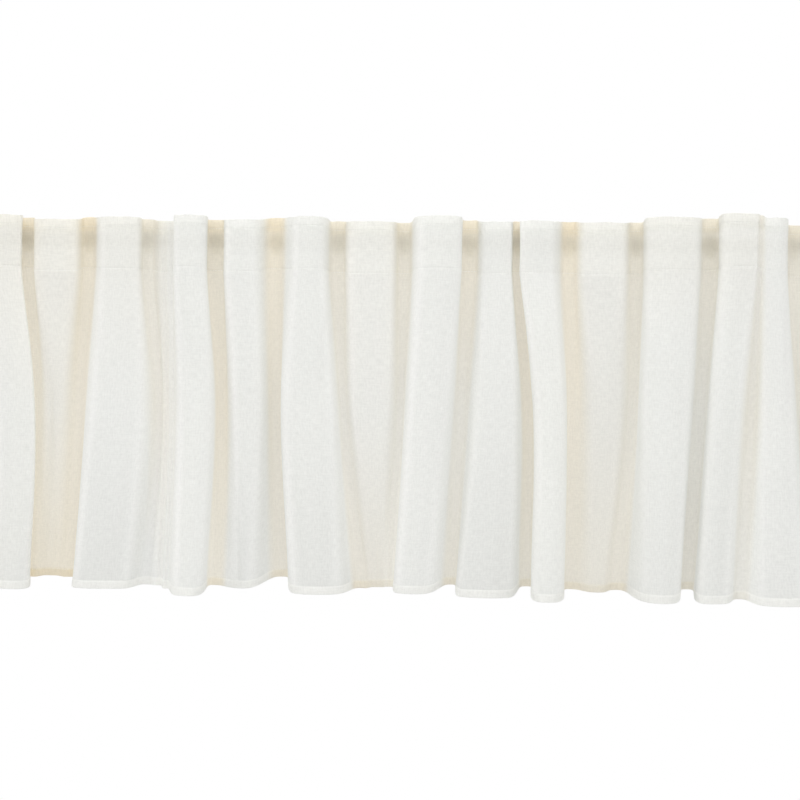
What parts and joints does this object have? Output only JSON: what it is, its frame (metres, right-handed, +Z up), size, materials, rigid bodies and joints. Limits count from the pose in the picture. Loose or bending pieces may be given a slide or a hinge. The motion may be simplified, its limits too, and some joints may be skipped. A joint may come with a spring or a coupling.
{
  "type": "window valance on a curtain rod",
  "caption": "Short gathered window valance in off-white semi-sheer linen-look cloth with a taped, looped heading, hanging in uneven folds from a plain round curtain rod.",
  "frame": {"origin": "on the rod's axis, at the middle of its length", "axes": "+X along the rod to the right seen from the room, -Y out of the cloth's front into the room, +Z up"},
  "size_m": [1.42, 0.0933, 0.512],
  "materials": {
    "cloth": "semi-sheer slubby plain weave, matte",
    "tape": "woven heading tape, matte",
    "rod": "satin steel tube"
  },
  "bodies": {
    "root": {"valance_cloth": "cloth", "heading_tape": "tape", "curtain_rod": "rod", "rod_loop_01": "tape", "rod_loop_02": "tape", "rod_loop_03": "tape", "rod_loop_04": "tape", "rod_loop_05": "tape", "rod_loop_06": "tape", "rod_loop_07": "tape", "rod_loop_08": "tape", "rod_loop_09": "tape", "rod_loop_10": "tape", "rod_loop_11": "tape", "rod_loop_12": "tape", "rod_loop_13": "tape", "rod_loop_14": "tape", "rod_loop_15": "tape", "rod_loop_16": "tape"}
  },
  "joints": []
}
